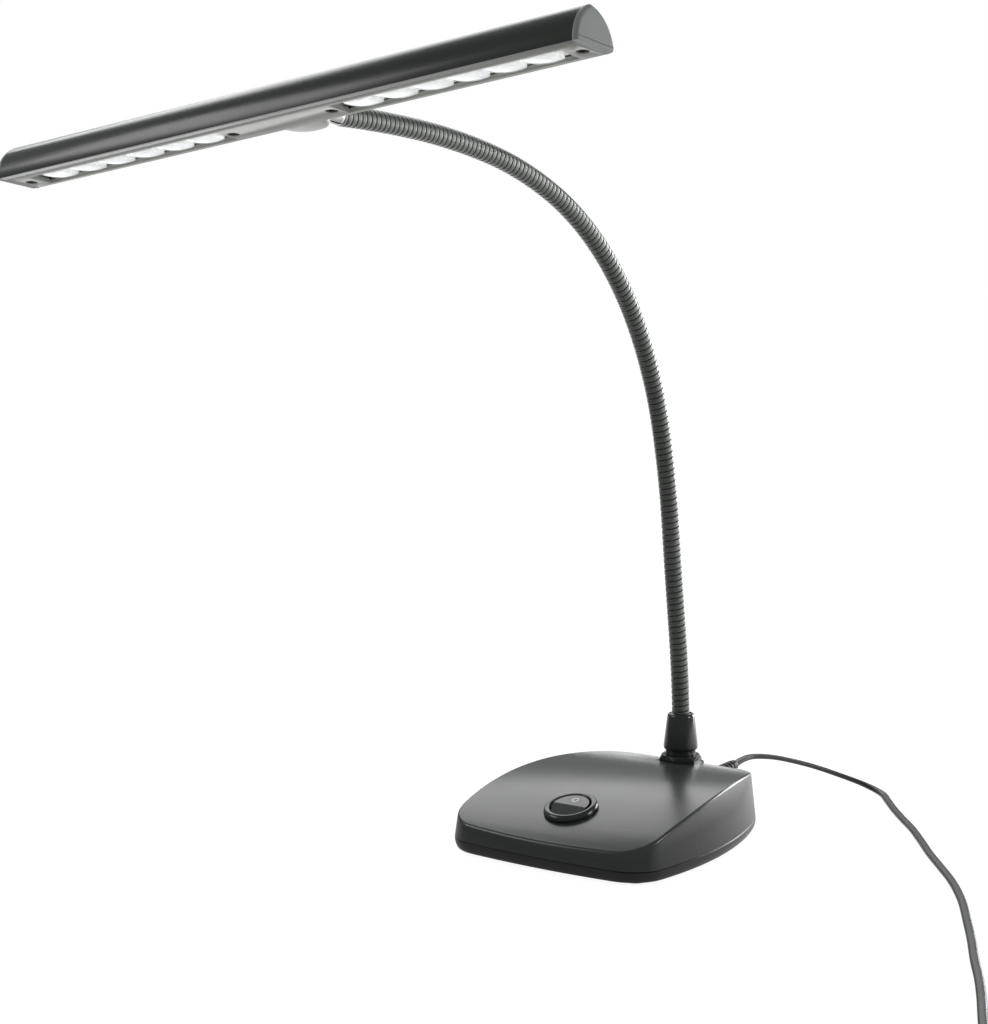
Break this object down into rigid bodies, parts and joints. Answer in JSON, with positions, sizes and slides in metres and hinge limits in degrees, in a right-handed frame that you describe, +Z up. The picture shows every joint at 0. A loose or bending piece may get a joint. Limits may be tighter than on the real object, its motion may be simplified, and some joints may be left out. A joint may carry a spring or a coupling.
{
  "type": "piano lamp",
  "caption": "Flexible-neck piano lamp with a long light bar, a weighted wedge base with a round rocker switch, and a flat lead to a plug-in supply.",
  "frame": {"origin": "on the table under the middle of the base", "axes": "+Z up, the front of the base towards -Y, the light bar along X and the collar at +Y"},
  "size_m": [0.4376, 0.3772, 0.3363],
  "materials": {
    "cover": "satin, fine grain",
    "tray": "matte",
    "weight": "as cast",
    "feet": "matte",
    "screws": "zinc plated",
    "switch": "gloss",
    "terminals": "plain",
    "board": "solder mask",
    "board_parts": "plain",
    "collar": "semi-gloss",
    "steel": "plain",
    "neck": "satin sleeve",
    "lead": "satin vinyl",
    "wire": "vinyl",
    "head": "semi-gloss anodised",
    "cap": "satin",
    "light_cover": "satin",
    "led_board": "white solder mask",
    "led": "phosphor",
    "lens": "clear moulded",
    "block": "plain",
    "bracket": "satin",
    "ferrule": "polished",
    "pins": "nickel plated",
    "adapter": "fine grain",
    "cover_screw": "black oxide"
  },
  "bodies": {
    "base": {"base_cover": "cover", "base_tray": "tray", "ballast": "weight", "foot_pads": "feet", "base_screws": "screws", "ballast_screws": "screws", "switch_housing": "switch", "switch_terminals": "terminals", "driver_board": "board", "driver_parts": "board_parts", "board_screws": "screws", "neck_flange": "collar", "neck_collar": "collar", "neck_stud": "steel", "neck_washer": "steel", "neck_locknut": "steel", "strain_relief": "lead", "lead_clamp": "tray", "supply_lead": "lead", "switch_leads": "wire", "riser_lead": "wire", "neck_link_1": "neck", "neck_wire_1": "wire", "cord_run": "lead", "cord_coil": "lead", "cord_tail": "lead", "plug_adapter": "adapter", "plug_pins": "pins"},
    "rocker": {"switch_rocker": "switch"},
    "neck_2": {"neck_link_2": "neck", "neck_wire_2": "wire"},
    "neck_3": {"neck_link_3": "neck", "neck_wire_3": "wire"},
    "neck_4": {"neck_link_4": "neck", "neck_wire_4": "wire"},
    "neck_5": {"neck_link_5": "neck", "neck_wire_5": "wire"},
    "neck_6": {"neck_link_6": "neck", "neck_wire_6": "wire"},
    "neck_7": {"neck_link_7": "neck", "neck_wire_7": "wire"},
    "neck_8": {"neck_link_8": "neck", "neck_wire_8": "wire"},
    "head": {"head_body": "head", "end_cap_left": "cap", "end_cap_right": "cap", "light_cover": "light_cover", "led_board_left": "led_board", "led_board_right": "led_board", "led_chips": "led", "lens_strip_left": "lens", "lens_strip_right": "lens", "cover_screws": "cover_screw", "center_block": "block", "neck_bracket": "bracket", "bracket_screws": "screws", "neck_ferrule": "ferrule", "head_leads": "wire", "neck_link_9": "neck", "neck_wire_9": "wire"}
  },
  "joints": [
    {"name": "switch_rocker_tip", "type": "hinge", "parent": "base", "child": "rocker", "pos_m": [0, -0.03589, 0.02087], "axis": [1, 0, 0], "range_deg": [-14, 0]},
    {"name": "neck_bend_1", "type": "hinge", "parent": "base", "child": "neck_2", "pos_m": [0, 0.04591, 0.089], "axis": [1, 0, 0], "range_deg": [-18, 18]},
    {"name": "neck_swing_2", "type": "hinge", "parent": "neck_2", "child": "neck_3", "pos_m": [0, 0.0398, 0.13359], "axis": [0, 0.9923, 0.1236], "range_deg": [-18, 18]},
    {"name": "neck_bend_3", "type": "hinge", "parent": "neck_3", "child": "neck_4", "pos_m": [0, 0.03126, 0.17773], "axis": [1, 0, 0], "range_deg": [-18, 18]},
    {"name": "neck_bend_4", "type": "hinge", "parent": "neck_4", "child": "neck_5", "pos_m": [0, 0.01409, 0.21918], "axis": [1, 0, 0], "range_deg": [-18, 18]},
    {"name": "neck_bend_5", "type": "hinge", "parent": "neck_5", "child": "neck_6", "pos_m": [0, -0.01388, 0.25422], "axis": [1, 0, 0], "range_deg": [-18, 18]},
    {"name": "neck_bend_6", "type": "hinge", "parent": "neck_6", "child": "neck_7", "pos_m": [0, -0.05094, 0.27945], "axis": [1, 0, 0], "range_deg": [-18, 18]},
    {"name": "neck_swing_7", "type": "hinge", "parent": "neck_7", "child": "neck_8", "pos_m": [0, -0.09329, 0.29441], "axis": [0, 0.2317, 0.9728], "range_deg": [-18, 18]},
    {"name": "neck_bend_8", "type": "hinge", "parent": "neck_8", "child": "head", "pos_m": [0, -0.13758, 0.30226], "axis": [1, 0, 0], "range_deg": [-18, 18]}
  ]
}
